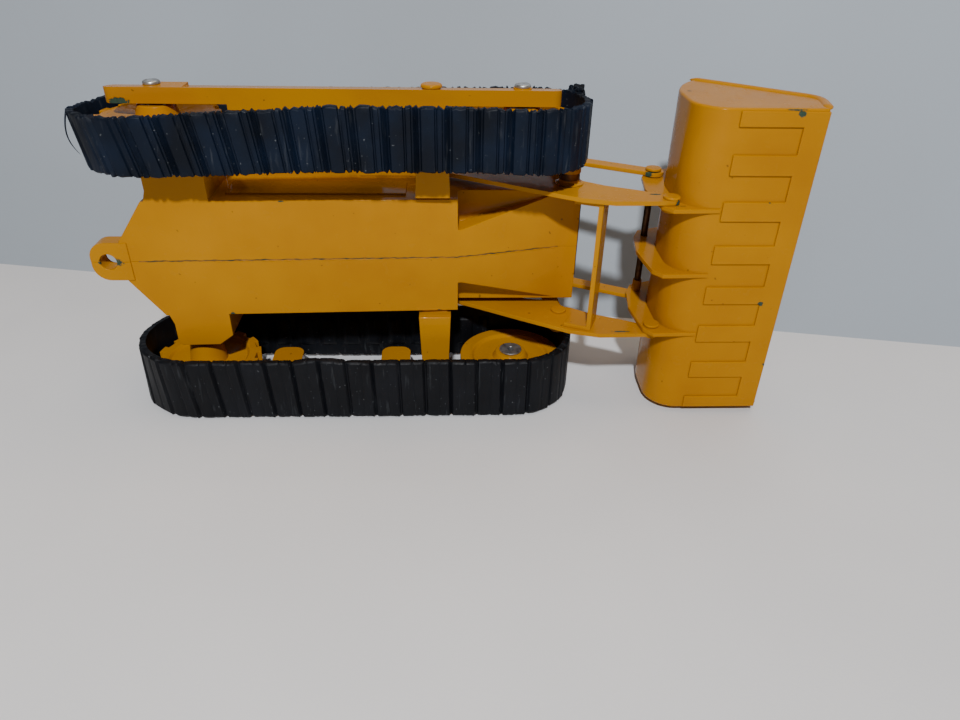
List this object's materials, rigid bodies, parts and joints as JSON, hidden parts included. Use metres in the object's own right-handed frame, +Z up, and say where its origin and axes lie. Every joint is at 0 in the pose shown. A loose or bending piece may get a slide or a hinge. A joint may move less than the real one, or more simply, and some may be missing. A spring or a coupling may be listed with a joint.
{
  "type": "toy crawler loader",
  "caption": "Die-cast toy crawler loader with a toothed bucket on lift arms, tilt levers and links, rubber tracks on sprockets and idlers, and a drawbar eye at the back.",
  "frame": {"origin": "on the ground, midway along the toy from the drawbar to the bucket's cheeks, on the seam of the two body halves", "axes": "+X forward towards the bucket, +Y to the operator's left, +Z up"},
  "size_m": [0.1952, 0.093, 0.0765],
  "materials": {
    "yellow_enamel": "glossy enamel, chipped at the edges",
    "black_rubber": "moulded rubber, slightly shiny with age",
    "rivet_steel": "plated, dulled",
    "dark_rod": "browned steel",
    "black_plastic": "satin moulded plastic"
  },
  "bodies": {
    "chassis": {"body_left": "yellow_enamel", "body_right": "yellow_enamel", "side_frame_left": "yellow_enamel", "side_frame_right": "yellow_enamel", "track_belt_left": "black_rubber", "track_belt_right": "black_rubber", "sprocket_rivet_left": "rivet_steel", "sprocket_rivet_right": "rivet_steel", "idler_rivet_left": "rivet_steel", "idler_rivet_right": "rivet_steel", "tower_left": "yellow_enamel", "tower_right": "yellow_enamel", "tower_rivet_left": "yellow_enamel", "tower_rivet_right": "yellow_enamel", "deck": "yellow_enamel", "seat": "black_plastic", "control_lever_left": "black_plastic", "control_lever_right": "black_plastic", "console": "yellow_enamel", "exhaust_stack": "black_plastic", "air_cleaner": "black_plastic", "grille": "black_plastic", "filler_cap": "yellow_enamel"},
    "loader_arms": {"lift_arm_left": "yellow_enamel", "lift_arm_right": "yellow_enamel", "cross_strap": "yellow_enamel", "lever_rivet_left": "yellow_enamel", "lever_rivet_right": "yellow_enamel", "bucket_rivet_left": "yellow_enamel", "bucket_rivet_right": "yellow_enamel"},
    "bucket": {"bucket_shell": "yellow_enamel", "wear_comb": "yellow_enamel", "ear_left": "yellow_enamel", "ear_middle": "yellow_enamel", "ear_right": "yellow_enamel", "tilt_rod": "dark_rod"},
    "sprocket_left": {"sprocket_left": "yellow_enamel"},
    "idler_left": {"idler_left": "yellow_enamel"},
    "tilt_lever_left": {"tilt_lever_left": "yellow_enamel", "link_pin_left": "yellow_enamel"},
    "tilt_link_left": {"tilt_link_left": "yellow_enamel"},
    "sprocket_right": {"sprocket_right": "yellow_enamel"},
    "idler_right": {"idler_right": "yellow_enamel"},
    "tilt_lever_right": {"tilt_lever_right": "yellow_enamel", "link_pin_right": "yellow_enamel"},
    "tilt_link_right": {"tilt_link_right": "yellow_enamel"}
  },
  "joints": [
    {"name": "arm_lift", "type": "hinge", "parent": "chassis", "child": "loader_arms", "pos_m": [-0.03492, 0, 0.053], "axis": [0, -1, 0], "range_deg": [0, 50]},
    {"name": "bucket_tilt", "type": "hinge", "parent": "loader_arms", "child": "bucket", "pos_m": [0.05968, 0, 0.006], "axis": [0, -1, 0], "range_deg": [-45, 30]},
    {"name": "lever_swing_left", "type": "hinge", "parent": "loader_arms", "child": "tilt_lever_left", "pos_m": [0.03408, 0.0206, 0.0178], "axis": [0, -1, 0], "range_deg": [-43, 29]},
    {"name": "link_swing_left", "type": "hinge", "parent": "tilt_lever_left", "child": "tilt_link_left", "pos_m": [0.03368, 0.0206, 0.0423], "axis": [0, -1, 0], "range_deg": [-28, 42]},
    {"name": "sprocket_spin_left", "type": "hinge", "parent": "chassis", "child": "sprocket_left", "pos_m": [-0.07392, 0.0352, 0.0185], "axis": [0, 1, 0], "continuous": true},
    {"name": "idler_spin_left", "type": "hinge", "parent": "chassis", "child": "idler_left", "pos_m": [0.02008, 0.0352, 0.0185], "axis": [0, 1, 0], "continuous": true},
    {"name": "lever_swing_right", "type": "hinge", "parent": "loader_arms", "child": "tilt_lever_right", "pos_m": [0.03408, -0.0206, 0.0178], "axis": [0, -1, 0], "range_deg": [-43, 29]},
    {"name": "link_swing_right", "type": "hinge", "parent": "tilt_lever_right", "child": "tilt_link_right", "pos_m": [0.03368, -0.0206, 0.0423], "axis": [0, -1, 0], "range_deg": [-28, 42]},
    {"name": "sprocket_spin_right", "type": "hinge", "parent": "chassis", "child": "sprocket_right", "pos_m": [-0.07392, -0.0352, 0.0185], "axis": [0, 1, 0], "continuous": true},
    {"name": "idler_spin_right", "type": "hinge", "parent": "chassis", "child": "idler_right", "pos_m": [0.02008, -0.0352, 0.0185], "axis": [0, 1, 0], "continuous": true}
  ],
  "couplings": [
    {"joint": "lever_swing_left", "follows": "bucket_tilt", "ratio": 0.95},
    {"joint": "link_swing_left", "follows": "bucket_tilt", "ratio": -0.91},
    {"joint": "idler_spin_left", "follows": "sprocket_spin_left", "ratio": 1},
    {"joint": "lever_swing_right", "follows": "bucket_tilt", "ratio": 0.95},
    {"joint": "link_swing_right", "follows": "bucket_tilt", "ratio": -0.91},
    {"joint": "idler_spin_right", "follows": "sprocket_spin_right", "ratio": 1}
  ]
}
